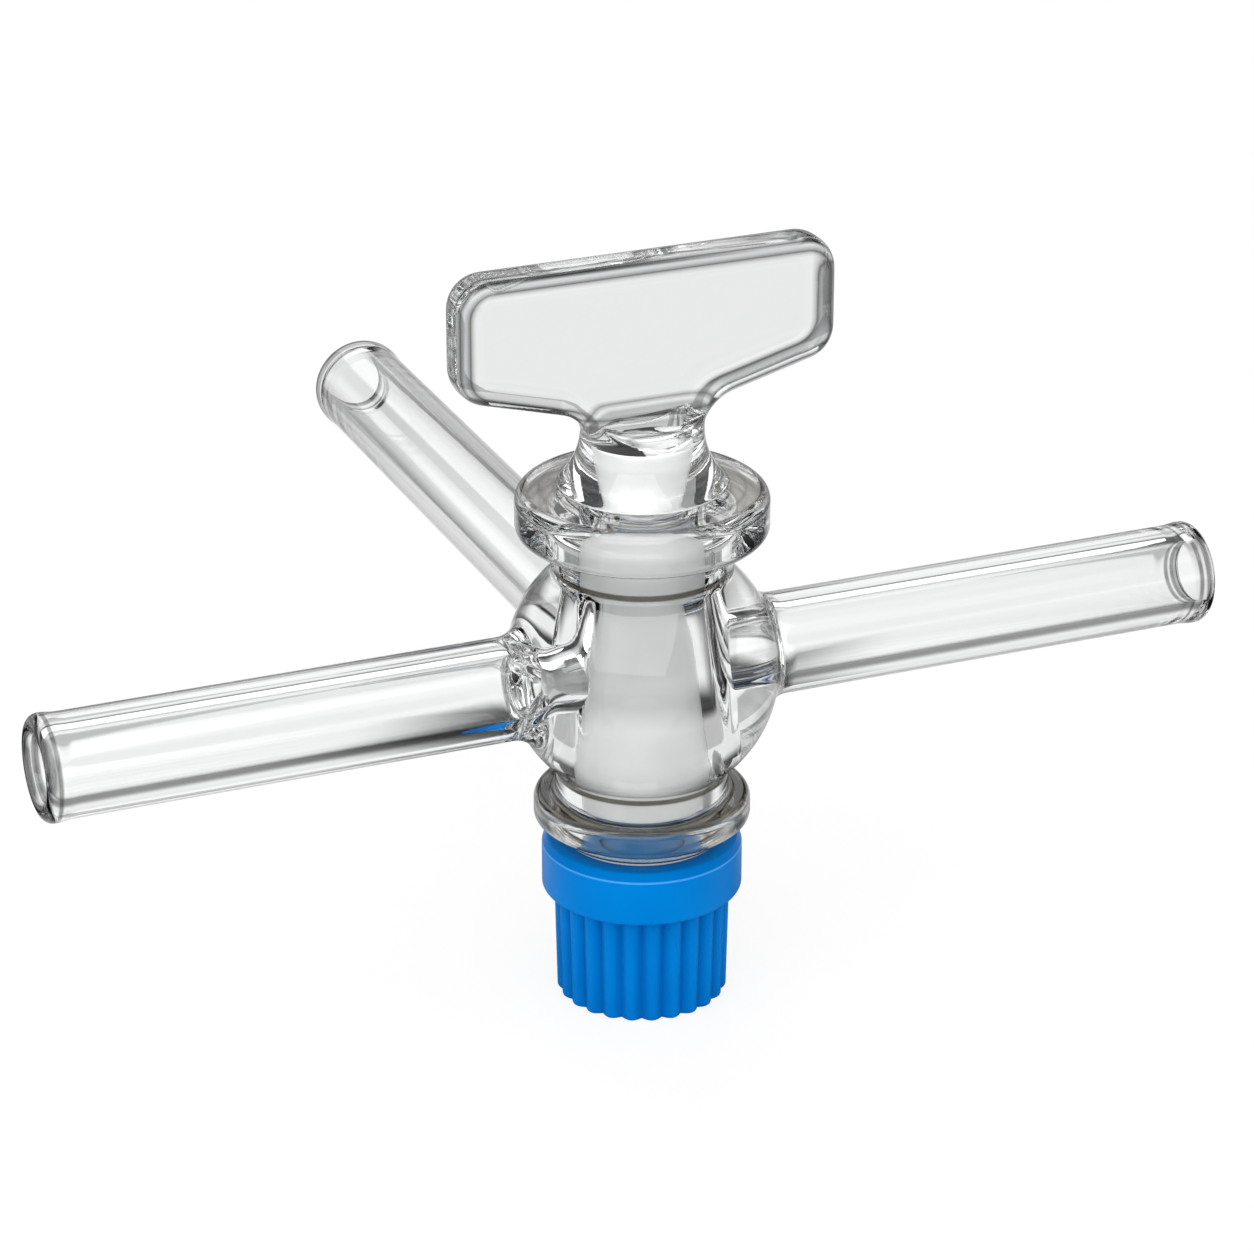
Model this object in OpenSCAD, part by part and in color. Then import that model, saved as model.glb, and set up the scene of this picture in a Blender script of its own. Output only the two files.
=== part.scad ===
// Three-way stopcock for laboratory glassware.
// A blown barrel carries two run arms in line and one branch arm square to
// them. A fluoropolymer plug with a T-shaped bore turns in the barrel, driven
// by a pressed-glass T-handle, and a fluted nut, a washer and an O-ring draw
// the plug down from below.
// Millimetres. The plug's axis is Z, the run arms lie along X, the branch arm
// points along +Y, and the nut's closed end rests on z = 0.

/* [Arms] */
// Outside diameter of the three tube arms
arm_od = 10; // [8:0.5:12]
// Bore of the three tube arms
arm_id = 6.4; // [4:0.1:7]
// Length of each run arm, from the plug's axis to its open end
run_arm_len = 60; // [35:1:90]
// Length of the branch arm, from the plug's axis to its open end
branch_arm_len = 82; // [35:1:110]
// Distance from the plug's axis at which an arm's bore steps down to the port
port_seat = 11; // [9:0.5:14]
// How far the fire-polished lip stands out beyond the tube
lip_bead = 0.15; // [0:0.05:0.4]
// Radius of the fillet where an arm leaves the globe
arm_fillet = 3; // [1:0.5:4]

/* [Barrel] */
// Radius of the blown globe where the arms meet
globe_r = 13.2; // [12:0.2:16]
// Radius of the barrel's necks above and below the globe
neck_r = 8.4; // [7.6:0.1:9.4]
// Radius of the fillet between the globe and each neck
neck_fillet = 1.2; // [0.6:0.2:2]
// Radius of the fillets under the upper rim and round the lower bead
rim_fillet = 0.7; // [0.3:0.1:1]
// Radius of the thick upper rim
rim_r = 12.1; // [11:0.1:14]
// Thickness of the upper rim
rim_t = 4.7; // [3.4:0.1:6]
// Radius of the upper rim's rounded edges
rim_edge = 1.2; // [0.6:0.1:1.6]
// Height of the barrel's top face above the arms' axis
barrel_top = 18.5; // [17:0.1:22]
// Radius of the lower bead
bead_r = 10.5; // [9.8:0.1:12]
// Thickness of the lower bead
bead_t = 2.8; // [1.6:0.1:3]
// Depth of the lower bead's upper face below the arms' axis
bead_drop = 13; // [12.4:0.1:17]
// Height of the foot ring below the lower bead
foot_h = 1.5; // [1.4:0.1:4]

/* [Plug] */
// Radius of the plug level with the arms
plug_r = 5.9; // [5.2:0.1:6.4]
// Change of the plug's radius over one millimetre of height
plug_taper = 0.006; // [0:0.002:0.02]
// Running clearance between the plug and the barrel, on the radius
plug_gap = 0.05; // [0.02:0.01:0.1]
// Diameter of the plug's T-shaped bore
port_d = 5; // [2:0.5:6]
// Radius of the spigot inside the handle
spigot_r = 5; // [4:0.1:5.2]
// Height of the spigot above the plug's shoulder
spigot_h = 4.8; // [3:0.1:7]
// Radius of the threaded stub that takes the nut
stub_r = 4; // [3:0.1:4.6]
// Height of the plug's lower end above the barrel's foot
plug_recess = 3; // [0.3:0.1:4]

/* [Handle] */
// Width of the handle, across both wings
handle_w = 38; // [30:0.5:50]
// Thickness of the handle
handle_t = 6.2; // [5:0.1:9]
// Radius of the rounding along the handle's edges
handle_edge = 2.5; // [1:0.1:2.5]
// Corner radius of the handle's outline
handle_corner = 3.4; // [2.8:0.1:5]
// Height of the wings at their ends
wing_h = 11.6; // [9:0.1:18]
// Slope of the wings' lower edges, in degrees
wing_slope = 15; // [0:1:25]
// Radius of the curve from a wing's lower edge into the stem
wing_fillet = 4; // [3:0.2:6]
// Radius of the handle's stem at its narrowest
stem_r = 5.85; // [5.8:0.05:7]
// Radius of the hollow curve from the stem to the handle's foot
flare_r = 7.4; // [6:0.1:9]
// Height of the stem's narrowest part above the handle's foot
flare_h = 5.8; // [4:0.1:6.6]
// Height of the crook between stem and wings above the narrowest part
stem_h = 1.9; // [1.6:0.1:5]
// Gap between the handle's foot and the barrel's top
handle_gap = 0.3; // [0.2:0.1:1]

/* [Nut and seals] */
// Height of the nut
nut_h = 16.8; // [14:0.1:22]
// Radius of the nut's smooth collar
collar_r = 9.75; // [9:0.05:11]
// Height of the nut's collar
collar_h = 5.5; // [4:0.1:8]
// Width of the bevel round the collar's top
collar_bevel = 0.5; // [0.2:0.1:0.9]
// Height of the bevel round the collar's top
bevel_h = 0.9; // [0.4:0.1:1.4]
// Radius over the ribs at the top of the grip
grip_r = 8.6; // [8.2:0.1:9.4]
// Draft of the grip: how much narrower its foot is, on the radius
grip_draft = 0.25; // [0:0.05:0.4]
// Number of ribs round the grip
rib_count = 24; // [16:1:32]
// Radius of one rounded rib
rib_r = 0.85; // [0.5:0.05:1]
// Depth of the grooves between the ribs
groove_depth = 0.6; // [0.2:0.05:0.8]
// Thickness of the nut's closed end
nut_floor = 2.2; // [1.2:0.1:4]
// Clearance between the nut's thread and the stub, on the radius
thread_gap = 0.1; // [0.05:0.05:0.2]
// Gap between the stub's end and the nut's closed end
stub_clear = 0.8; // [0.4:0.1:3]
// Outside radius of the washer
washer_r = 7.4; // [6.8:0.1:7.8]
// Thickness of the washer
washer_t = 1.2; // [0.8:0.1:2]
// How far the washer stands out of the nut's recess
washer_stand = 0.3; // [0.2:0.1:0.8]
// Section diameter of the O-ring
ring_d = 1.8; // [1:0.1:2.2]
// Clearance round the washer and the O-ring
seal_gap = 0.3; // [0.2:0.05:0.5]

/* [Hidden] */
$fn = 96;

GLASS = [0.86, 0.92, 0.94, 0.45];
FLUOROPOLYMER = [0.95, 0.95, 0.93];
ELASTOMER = [0.12, 0.12, 0.13];
NUT_BLUE = [0.01, 0.46, 0.86];

arm_r = arm_od / 2;
arm_bore_r = arm_id / 2;
arm_wall = arm_r - arm_bore_r;
foot_drop = bead_drop + bead_t + foot_h;
foot_edge = 0.6;
bead_edge = 0.8;
collar_edge = 0.4;
// heights, from the surface the nut rests on
foot_z = nut_h + washer_stand;
arm_z = foot_z + foot_drop;
rim_top_z = arm_z + barrel_top;
shoulder_z = rim_top_z + handle_gap;
spigot_z = shoulder_z + spigot_h;
plug_low_z = foot_z + plug_recess;
stub_z = nut_floor + stub_clear;
washer_z = foot_z - washer_t;
recess_z = washer_z - ring_d;
stem_z = shoulder_z + flare_h;
crook_z = stem_z + stem_h;

thread_r = stub_r + thread_gap;
recess_r = washer_r + seal_gap;
washer_hole_r = stub_r + seal_gap;
ring_mid_r = washer_hole_r + ring_d / 2;
stub_chamfer = 0.6;
// the slab's end is this much narrower than the stem, and reaches this far
// below the start of the curve into the wings
tongue_inset = 0.25;
tongue_sink = 0.6;
// the saddle round the slab: its radius to the stem's, and its height within
// the crook
saddle_ratio = 1.2;
saddle_rise = 0.35;
through = 1;

function plug_r_at(z) = plug_r + plug_taper * (z - arm_z);

// A disc's half section from the axis out to r, between z0 and z1, with its
// outer edges rounded to radius e
module disc_section(r, z0, z1, e) {
    translate([0, z0]) square([r - e, z1 - z0]);
    translate([0, z0 + e]) square([r, z1 - z0 - 2 * e]);
    for (z = [z0 + e, z1 - e]) translate([r - e, z]) circle(e);
}

// The half section of the fillet of radius q that blends a ball of radius
// ball_r into a coaxial rod of radius rod_r
module ball_fillet_section(ball_r, rod_r, q) {
    x = rod_r + q;
    z = sqrt(pow(ball_r + q, 2) - pow(x, 2));
    touch = ball_r / (ball_r + q);
    difference() {
        polygon([[0, 0], [x * touch, z * touch], [x, z], [rod_r, z], [0, z]]);
        translate([x, z]) circle(q);
    }
}

// The half section of the fillet of radius q in the corner between a rod of
// radius rod_r and a face at height z. up is 1 above the face and -1 below it.
module face_fillet_section(rod_r, z, q, up) {
    difference() {
        polygon([[0, z - up * q / 2], [rod_r + q, z - up * q / 2], [rod_r + q, z],
                 [rod_r + q, z + up * q], [0, z + up * q]]);
        translate([rod_r + q, z + up * q]) circle(q);
    }
}

// A tube arm's outside along +Z, from the barrel's centre to its rounded lip
module arm_outside(length) {
    lip_r = arm_wall / 2 + lip_bead;
    rotate_extrude() {
        square([arm_r, length - lip_r]);
        square([(arm_r + arm_bore_r) / 2, length - lip_r / 2]);
        translate([(arm_r + arm_bore_r) / 2, length - lip_r]) circle(lip_r);
        ball_fillet_section(globe_r, arm_r, arm_fillet);
    }
}

// The places of the arms, as turns that bring +Z onto each arm's direction,
// with each arm's length
module at_each_arm() {
    translate([0, 0, arm_z]) {
        rotate([0, 90, 0]) { $arm_len = run_arm_len; children(); }
        rotate([0, -90, 0]) { $arm_len = run_arm_len; children(); }
        rotate([-90, 0, 0]) { $arm_len = branch_arm_len; children(); }
    }
}

module barrel() {
    bead_z = arm_z - bead_drop - bead_t;
    color(GLASS) difference() {
        union() {
            rotate_extrude() {
                translate([0, arm_z]) intersection() {
                    circle(globe_r);
                    translate([0, -globe_r]) square([globe_r, 2 * globe_r]);
                }
                disc_section(neck_r, foot_z, rim_top_z - rim_t / 2, foot_edge);
                for (side = [0, 1])
                    translate([0, arm_z]) mirror([0, side])
                        ball_fillet_section(globe_r, neck_r, neck_fillet);
                disc_section(rim_r, rim_top_z - rim_t, rim_top_z, rim_edge);
                face_fillet_section(neck_r, rim_top_z - rim_t, rim_fillet, -1);
                disc_section(bead_r, bead_z, bead_z + bead_t, bead_edge);
                face_fillet_section(neck_r, bead_z + bead_t, rim_fillet, 1);
                face_fillet_section(neck_r, bead_z, rim_fillet, -1);
            }
            at_each_arm() arm_outside($arm_len);
        }
        translate([0, 0, foot_z - through])
            cylinder(h = rim_top_z - foot_z + 2 * through,
                     r1 = plug_r_at(foot_z - through) + plug_gap,
                     r2 = plug_r_at(rim_top_z + through) + plug_gap);
        at_each_arm() {
            translate([0, 0, port_seat])
                cylinder(h = $arm_len - port_seat + through, r = arm_bore_r);
            cylinder(h = port_seat + through, d = port_d);
        }
    }
}

module plug() {
    port_len = plug_r + through;
    color(FLUOROPOLYMER) difference() {
        union() {
            translate([0, 0, plug_low_z])
                cylinder(h = shoulder_z - plug_low_z,
                         r1 = plug_r_at(plug_low_z), r2 = plug_r_at(shoulder_z));
            translate([0, 0, shoulder_z - through])
                cylinder(h = spigot_h + through, r = spigot_r);
            translate([0, 0, stub_z + stub_chamfer])
                cylinder(h = plug_low_z - stub_z, r = stub_r);
            translate([0, 0, stub_z])
                cylinder(h = stub_chamfer, r1 = stub_r - stub_chamfer, r2 = stub_r);
        }
        translate([-port_len, 0, arm_z]) rotate([0, 90, 0])
            cylinder(h = 2 * port_len, d = port_d);
        translate([0, 0, arm_z]) rotate([-90, 0, 0])
            cylinder(h = port_len, d = port_d);
    }
}

// ---- T-handle: a slab with rounded edges, drawn down into a flared stem ----

// Points of an arc about [x, z], from angle a to angle b, both ends included
function arc(x, z, r, a, b, steps) =
    [for (i = [0:steps]) let (t = a + (b - a) * i / steps)
        [x + r * cos(t), z + r * sin(t)]];

arc_steps = 8;
tongue_r = stem_r - tongue_inset;
wing_x = handle_w / 2 - handle_corner;
// the wing's lower edge starts from the crook's height at the stem
function edge_z(x) = crook_z + tan(wing_slope) * (x - tongue_r);
handle_top_z = edge_z(handle_w / 2) + wing_h;
low_corner_z = edge_z(wing_x) + handle_corner / cos(wing_slope);
// centre of the curve between the stem and the lower edge
crook_x = tongue_r + wing_fillet;
crook_c_z = edge_z(crook_x) - wing_fillet / cos(wing_slope);
// the slab's lower end is hidden in the stem
tongue_z = crook_c_z - tongue_sink;

// The right half of the slab's outline, moved inwards by d, from the stem's
// end up to the top
function half_outline(d) = concat(
    [[tongue_r - d, tongue_z]],
    arc(crook_x, crook_c_z, wing_fillet + d, 180, 90 + wing_slope, arc_steps),
    arc(wing_x, low_corner_z, handle_corner - d, wing_slope - 90, 0, arc_steps),
    arc(wing_x, handle_top_z - handle_corner, handle_corner - d, 0, 90, arc_steps));

function outline(d) = let (half = half_outline(d), n = len(half))
    concat(half, [for (i = [1:n]) [-half[n - i][0], half[n - i][1]]]);

// A slab across Y that is outline(0) at its waist, with its edges rounded
// off to handle_edge and its flat faces at +/- handle_t / 2
module rounded_slab() {
    turns = 6;
    flat_y = handle_t / 2 - handle_edge;
    rounding = [for (i = [0:turns]) let (t = 90 * i / turns)
        [handle_edge * (1 - cos(t)), flat_y + handle_edge * sin(t)]];
    rings = concat([for (i = [turns:-1:0]) [rounding[i][0], -rounding[i][1]]],
                   rounding);
    n = len(outline(0));
    last = len(rings) - 1;
    polyhedron(
        points = [for (ring = rings) for (p = outline(ring[0])) [p[0], ring[1], p[1]]],
        faces = concat(
            [[for (i = [n - 1:-1:0]) i]],
            [for (k = [0:last - 1]) for (i = [0:n - 1])
                let (j = (i + 1) % n) [k * n + i, k * n + j, (k + 1) * n + j, (k + 1) * n + i]],
            [[for (i = [0:n - 1]) last * n + i]]));
}

// The round stem: a hollow curve from the foot up to the narrowest part, then
// straight up, with a saddle cut away in front of and behind the slab
module stem() {
    saddle_r = stem_r * saddle_ratio;
    saddle_z = stem_z + stem_h * saddle_rise;
    difference() {
        rotate_extrude() {
            difference() {
                translate([0, shoulder_z]) square([stem_r + flare_r, flare_h]);
                translate([stem_r + flare_r, stem_z]) circle(flare_r);
            }
            translate([0, stem_z]) square([stem_r, saddle_r]);
        }
        translate([0, -2 * stem_r, saddle_z + saddle_r]) rotate([-90, 0, 0])
            cylinder(h = 4 * stem_r, r = saddle_r);
    }
}

// Stem and slab are pressed in one and brought to handle_w across the wings
module handle() {
    color(GLASS) difference() {
        resize([handle_w, 0, 0]) union() {
            stem($fn = 48);
            rounded_slab();
        }
        translate([0, 0, shoulder_z - through])
            cylinder(h = spigot_h + through, r = spigot_r + plug_gap);
    }
}

module washer() {
    color(FLUOROPOLYMER) translate([0, 0, washer_z]) difference() {
        cylinder(h = washer_t, r = washer_r);
        translate([0, 0, -through])
            cylinder(h = washer_t + 2 * through, r = washer_hole_r);
    }
}

module o_ring() {
    color(ELASTOMER) translate([0, 0, recess_z + ring_d / 2])
        rotate_extrude() translate([ring_mid_r, 0]) circle(d = ring_d);
}

// The nut's outside below the collar: ribs all round, trimmed by a cone that
// gives the grip its draft and by a rounded foot
module fluted_grip(height) {
    foot_round = 0.6;
    intersection() {
        linear_extrude(height) {
            circle(grip_r - groove_depth);
            for (i = [0:rib_count - 1]) rotate(360 * i / rib_count)
                translate([grip_r - rib_r, 0]) circle(rib_r, $fn = 32);
        }
        rotate_extrude() {
            polygon([[0, 0], [grip_r - grip_draft - foot_round, 0],
                     [grip_r - grip_draft, foot_round], [grip_r, height], [0, height]]);
        }
    }
}

module nut() {
    collar_z = nut_h - collar_h;
    mid_z = nut_h - collar_h / 2;
    bevel_z = nut_h - bevel_h;
    color(NUT_BLUE) difference() {
        union() {
            fluted_grip(mid_z);
            rotate_extrude() {
                disc_section(collar_r, collar_z, bevel_z, collar_edge);
                polygon([[0, mid_z], [collar_r, mid_z], [collar_r, bevel_z],
                         [collar_r - collar_bevel, nut_h], [0, nut_h]]);
            }
        }
        translate([0, 0, nut_floor]) cylinder(h = nut_h, r = thread_r);
        translate([0, 0, recess_z]) cylinder(h = nut_h, r = recess_r);
    }
}

barrel();
plug();
handle();
washer();
o_ring();
nut();
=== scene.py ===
import logging
import math
from dataclasses import dataclass
from enum import Enum

import bmesh
import bpy
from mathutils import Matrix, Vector


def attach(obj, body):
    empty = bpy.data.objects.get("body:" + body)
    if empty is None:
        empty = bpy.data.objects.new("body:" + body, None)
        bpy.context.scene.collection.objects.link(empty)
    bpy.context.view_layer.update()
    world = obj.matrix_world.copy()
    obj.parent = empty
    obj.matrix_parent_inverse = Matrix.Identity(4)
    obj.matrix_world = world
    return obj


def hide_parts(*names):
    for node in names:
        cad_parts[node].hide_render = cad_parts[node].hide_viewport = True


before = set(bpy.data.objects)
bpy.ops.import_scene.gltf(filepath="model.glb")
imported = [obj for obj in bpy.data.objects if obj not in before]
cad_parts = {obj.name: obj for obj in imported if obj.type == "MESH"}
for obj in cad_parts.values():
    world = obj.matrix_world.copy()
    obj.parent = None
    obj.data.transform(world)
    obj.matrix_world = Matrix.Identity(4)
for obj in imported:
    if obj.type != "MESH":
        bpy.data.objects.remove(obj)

LOG = logging.getLogger("stopcock")
MM = 0.001

Piece = bpy.types.Object
Point = tuple[float, float]
Colour = tuple[float, float, float]
Stops = tuple[tuple[float, Colour], ...]
WHITE: Colour = (1.0, 1.0, 1.0)


def greys(*stops: Point) -> Stops:
    """A colour ramp's stops, from the place and the grey level of each."""
    return tuple((place, (level, level, level)) for place, level in stops)


# ---- shader maths


class Socket:
    """An output of a node, with Python operators that add Math nodes."""

    def __init__(self, net: "Network", output: bpy.types.NodeSocket) -> None:
        """Keeps an output and the network that new nodes are added to."""
        self.net = net
        self.output = output

    def _maths(self, operation: str, first: object, second: object) -> "Socket":
        """The result of a new Math node on two numbers or Sockets."""
        return self.net.node("Math", {0: first, 1: second}, operation=operation)[0]

    def __add__(self, other: object) -> "Socket":
        """Sum."""
        return self._maths("ADD", self, other)

    def __sub__(self, other: object) -> "Socket":
        """Difference."""
        return self._maths("SUBTRACT", self, other)

    def __rsub__(self, other: object) -> "Socket":
        """Difference, reflected."""
        return self._maths("SUBTRACT", other, self)

    def __mul__(self, other: object) -> "Socket":
        """Product."""
        return self._maths("MULTIPLY", self, other)

    __radd__ = __add__
    __rmul__ = __mul__

    def at_least(self, other: object) -> "Socket":
        """The larger of the two."""
        return self._maths("MAXIMUM", self, other)

    def size(self) -> "Socket":
        """The value without its sign."""
        return self._maths("ABSOLUTE", self, 0.0)


class Network:
    """The node tree of a material or of the world, filled by one method."""

    def __init__(self, owner: object) -> None:
        """Empties the owner's node tree.

        Args:
            owner: a material or a world.
        """
        owner.use_nodes = True
        self.tree = owner.node_tree
        self.tree.nodes.clear()

    def node(self, kind: str, values: dict[object, object] | None = None, **settings: object) -> list[Socket]:
        """Adds a node, sets it up, and gives its sockets their values or links.

        Args:
            kind: the node's type, without the word that all of them start with.
            values: number, colour or Socket for each input, by name or place.
            settings: attributes of the node. "stops" holds a colour ramp's stops.

        Returns:
            The node's outputs.
        """
        node = self.tree.nodes.new("ShaderNode" + kind)
        for name, value in settings.items():
            if name == "stops":
                ramp = node.color_ramp
                while len(ramp.elements) < len(value):
                    ramp.elements.new(0.5)
                for element, (place, colour) in zip(ramp.elements, value):
                    element.position = place
                    element.color = (*colour, 1.0)
            else:
                setattr(node, name, value)
        for key, value in (values or {}).items():
            if isinstance(value, Socket):
                self.tree.links.new(value.output, node.inputs[key])
            else:
                node.inputs[key].default_value = value
        return [Socket(self, output) for output in node.outputs]

    def place(self) -> Socket:
        """Object coordinates, in metres."""
        return self.node("TexCoord")[3]

    def parts(self, vector: Socket) -> list[Socket]:
        """The three coordinates of a vector."""
        return self.node("SeparateXYZ", {0: vector})

    def spot(self) -> tuple[Socket, Socket, Socket, Socket]:
        """Where a point lies on the part.

        Returns:
            Its three coordinates and its distance from the plug's axis, in millimetres.
        """
        x, y, z = (part * (1.0 / MM) for part in self.parts(self.place()))
        flat = self.node("CombineXYZ", {0: x, 1: y})[0]
        return x, y, z, self.node("VectorMath", {0: flat}, operation="LENGTH")[1]

    def facing(self) -> Socket:
        """How far the surface turns away, from 0 to 1."""
        return self.node("LayerWeight", {"Blend": 0.5})[1]

    def noise(self, scale: float, detail: float, coordinates: Socket | None = None) -> Socket:
        """Noise from 0 to 1, with so many waves over one unit of the coordinates, or over a metre."""
        inputs = {"Vector": coordinates or self.place(), "Scale": scale, "Detail": detail}
        return self.node("TexNoise", inputs)[0]

    def ramp(self, value: Socket, stops: Stops) -> Socket:
        """The colour that a ramp has at a value."""
        return self.node("ValToRGB", {0: value}, stops=stops)[0]

    def mix(self, share: object, first: object, second: object, how: str = "MIX") -> Socket:
        """A blend of two colours, with a share of the second."""
        return self.node("Mix", {0: share, 6: first, 7: second}, data_type="RGBA", blend_type=how)[2]

    def tinted(self, first: object, second: Socket, share: object = 1.0) -> Socket:
        """The product of two colours, where the second counts by a share from 0 to 1."""
        return self.mix(share, first, second, "MULTIPLY")

    def faded(self, first: Socket, share: Socket, colour: Colour) -> Socket:
        """A colour that takes on another as a tint, by a share from 0 to 1."""
        return self.tinted(first, self.ramp(share, ((0.0, WHITE), (1.0, colour))))

    def step(self, value: Socket, start: float, width: float, falling: bool = False) -> Socket:
        """A soft step.

        Args:
            value: what is compared.
            start: where the step starts.
            width: how far it takes.
            falling: whether it falls from 1 to 0 rather than rises.

        Returns:
            The step, from 0 to 1.
        """
        first, last = (1.0, 0.0) if falling else (0.0, 1.0)
        inputs = {"Value": value, "From Min": start, "From Max": start + width, "To Min": first, "To Max": last}
        return self.node("MapRange", inputs, interpolation_type="SMOOTHSTEP")[0]

    def bump(self, height: Socket, distance: float) -> Socket:
        """The normal that a height from 0 to 1 gives, where 1 stands for a distance in metres."""
        return self.node("Bump", {"Height": height, "Distance": distance, "Strength": 1.0})[0]


# ---- finishes
# Places on the part are in millimetres. A Point that is a step holds its start and its width.


@dataclass(frozen=True)
class Finish:
    """A procedural material."""

    name: str

    def shader(self, net: Network) -> Socket:
        """Adds the material's nodes to its network and gives the surface's shader."""
        raise NotImplementedError

    def material(self) -> bpy.types.Material:
        """Builds the material from its shader.

        Returns:
            The material.
        """
        made = bpy.data.materials.new(self.name)
        net = Network(made)
        net.node("OutputMaterial", {"Surface": self.shader(net)})
        return made


@dataclass(frozen=True)
class ClearGlass(Finish):
    """Borosilicate glass: clear and fire-polished, with painted dark edge lines where its form turns, painted
    reflections on the rim and the bead, and painted shade along the creases.
    """

    name: str = "borosilicate"
    tint: Colour = (0.985, 0.995, 0.992)
    paler: float = 1.004
    ior: float = 1.474
    flow_waves: float = 260.0
    ripple: float = 0.004 * MM
    shadow: Colour = (0.90, 0.91, 0.91)
    # painted reflection: the glass darkens where its surface turns away, standing in for dark surroundings seen at its
    # edges
    edge: Stops = greys((0.55, 1.0), (0.72, 0.40), (0.85, 0.08))
    body: Point = (14.0, 1.0)
    globe_level: float = 34.4
    globe_half: Point = (8.5, 2.0)
    # painted reflections: dark, light and bluish streaks on the steep sides of the rim and the bead
    lines: Stops = (
        (0.34, (0.03, 0.025, 0.018)), (0.40, (0.50, 0.47, 0.42)), (0.44, WHITE),
        (0.56, WHITE), (0.60, (0.35, 0.42, 0.52)), (0.66, (0.03, 0.035, 0.04)))
    line_waves: float = 1.3
    line_from: Point = (9.6, 0.5)
    line_facing: Point = (0.25, 0.35)
    line_tilt: Point = (0.3, 0.5)
    # painted reflections: dark and light rings on the flat faces of the rim and the bead
    circles: Stops = (
        (0.0, (0.90, 0.90, 0.90)), (0.08, (0.16, 0.14, 0.11)), (0.17, (0.85, 0.85, 0.85)),
        (0.34, WHITE), (0.43, (0.30, 0.27, 0.23)), (0.50, (0.95, 0.95, 0.95)),
        (0.68, WHITE), (0.77, (0.22, 0.20, 0.17)), (0.86, (0.90, 0.90, 0.92)),
        (0.97, (0.45, 0.46, 0.48)))
    circle_low: float = 8.0
    circle_span: float = 4.1
    circle_tilt: Point = (0.6, 0.3)
    # painted shade: dark rings at the heights where the necks, the bead, the rim and the foot turn into one another
    crease_heights: tuple[float, ...] = (17.2, 18.6, 21.4, 23.8, 45.0, 48.2)
    crease_half: float = 0.20
    crease_from: Point = (7.2, 0.4)
    crease_shade: Colour = (0.05, 0.042, 0.03)
    bore: Point = (6.3, 0.3)
    bore_tint: Colour = (0.72, 0.72, 0.72)
    # painted reflection: the blue nut, as seen through the foot ring beside the bore
    foot: Point = (20.2, 0.2)
    nut_reflection_tint: Colour = (0.01, 0.11, 0.38)
    # painted reflections: dark lines round the arms' lips
    lips: Stops = greys((0.05, 1.0), (0.18, 0.12), (0.36, 0.12), (0.48, 0.90), (0.70, 0.85), (0.84, 0.20), (1.0, 0.40))
    lip_span: float = 1.5
    run_end: float = 60.0
    branch_end: float = 82.0

    def painted_lines(self, net: Network) -> Socket:
        """Painted reflections on the rim and the bead, painted shade along the creases, the glass greyed at the bore,
        and a painted blue reflection at the foot.

        Args:
            net: the material's network.

        Returns:
            Their tint.
        """
        _, _, z, out = net.spot()
        ends = net.step((z - self.globe_level).size(), *self.globe_half)
        tilt = net.parts(net.node("TexCoord")[1])[2].size()
        waves = net.noise(self.line_waves, 0.0, net.node("CombineXYZ", {0: out, 2: z})[0])
        # painted reflections: streaks on the steep outer sides, away from the globe
        share = (net.step(out, *self.line_from) * net.step(net.facing(), *self.line_facing)
                 * net.step(tilt, *self.line_tilt, falling=True) * ends)
        drawn = net.tinted((*WHITE, 1.0), net.ramp(waves, self.lines), share)
        # painted reflections: rings on the flat faces
        circles = net.ramp((out - self.circle_low) * (1.0 / self.circle_span), self.circles)
        drawn = net.tinted(drawn, circles, net.step(tilt, *self.circle_tilt) * ends)
        # painted shade along the creases
        crease, *others = [net.step((z - height).size(), self.crease_half, self.crease_half, falling=True)
                           for height in self.crease_heights]
        for other in others:
            crease = crease.at_least(other)
        drawn = net.faded(drawn, crease * net.step(out, *self.crease_from), self.crease_shade)
        bore = net.step(out, *self.bore, falling=True)
        drawn = net.faded(drawn, bore, self.bore_tint)
        # painted reflection of the blue nut in the foot
        return net.faded(drawn, bore * net.step(z, *self.foot, falling=True), self.nut_reflection_tint)

    def line_share(self, net: Network) -> Socket:
        """Where the painted reflections and shade count, from 0 to 1: on the body, not on the arms."""
        return net.step(net.spot()[3], *self.body, falling=True)

    def painted_lip_lines(self, net: Network) -> Socket:
        """Painted reflections: dark lines on the arms' fire-polished ends.

        Args:
            net: the material's network.

        Returns:
            Their tint.
        """
        x, y, _, _ = net.spot()
        run = x.size() - (self.run_end - self.lip_span)
        branch = y - (self.branch_end - self.lip_span)
        return net.ramp(run.at_least(branch) * (1.0 / self.lip_span), self.lips)

    def shader(self, net: Network) -> Socket:
        """Clear glass that lets lamps through as a faint tint.

        Args:
            net: the material's network.

        Returns:
            The surface's shader.
        """
        flow = net.noise(self.flow_waves, detail=2.0)
        pale = tuple(min(1.0, self.paler * part) for part in self.tint)
        # a faintly clouded tint, darkened at the edges by painted reflection
        colour = net.tinted(net.ramp(flow, ((0.0, self.tint), (1.0, pale))), net.ramp(net.facing(), self.edge))
        # painted reflections and painted shade on the body
        colour = net.tinted(colour, self.painted_lines(net), self.line_share(net))
        glass = net.node("BsdfPrincipled", {
            "Base Color": net.tinted(colour, self.painted_lip_lines(net)),
            "Roughness": 0.0, "IOR": self.ior, "Transmission Weight": 1.0,
            "Normal": net.bump(flow, self.ripple),
        })[0]
        shadow_ray = net.node("LightPath")[1]
        clear = net.node("BsdfTransparent", {"Color": (*self.shadow, 1.0)})[0]
        return net.node("MixShader", {0: shadow_ray, 1: glass, 2: clear})[0]


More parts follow.
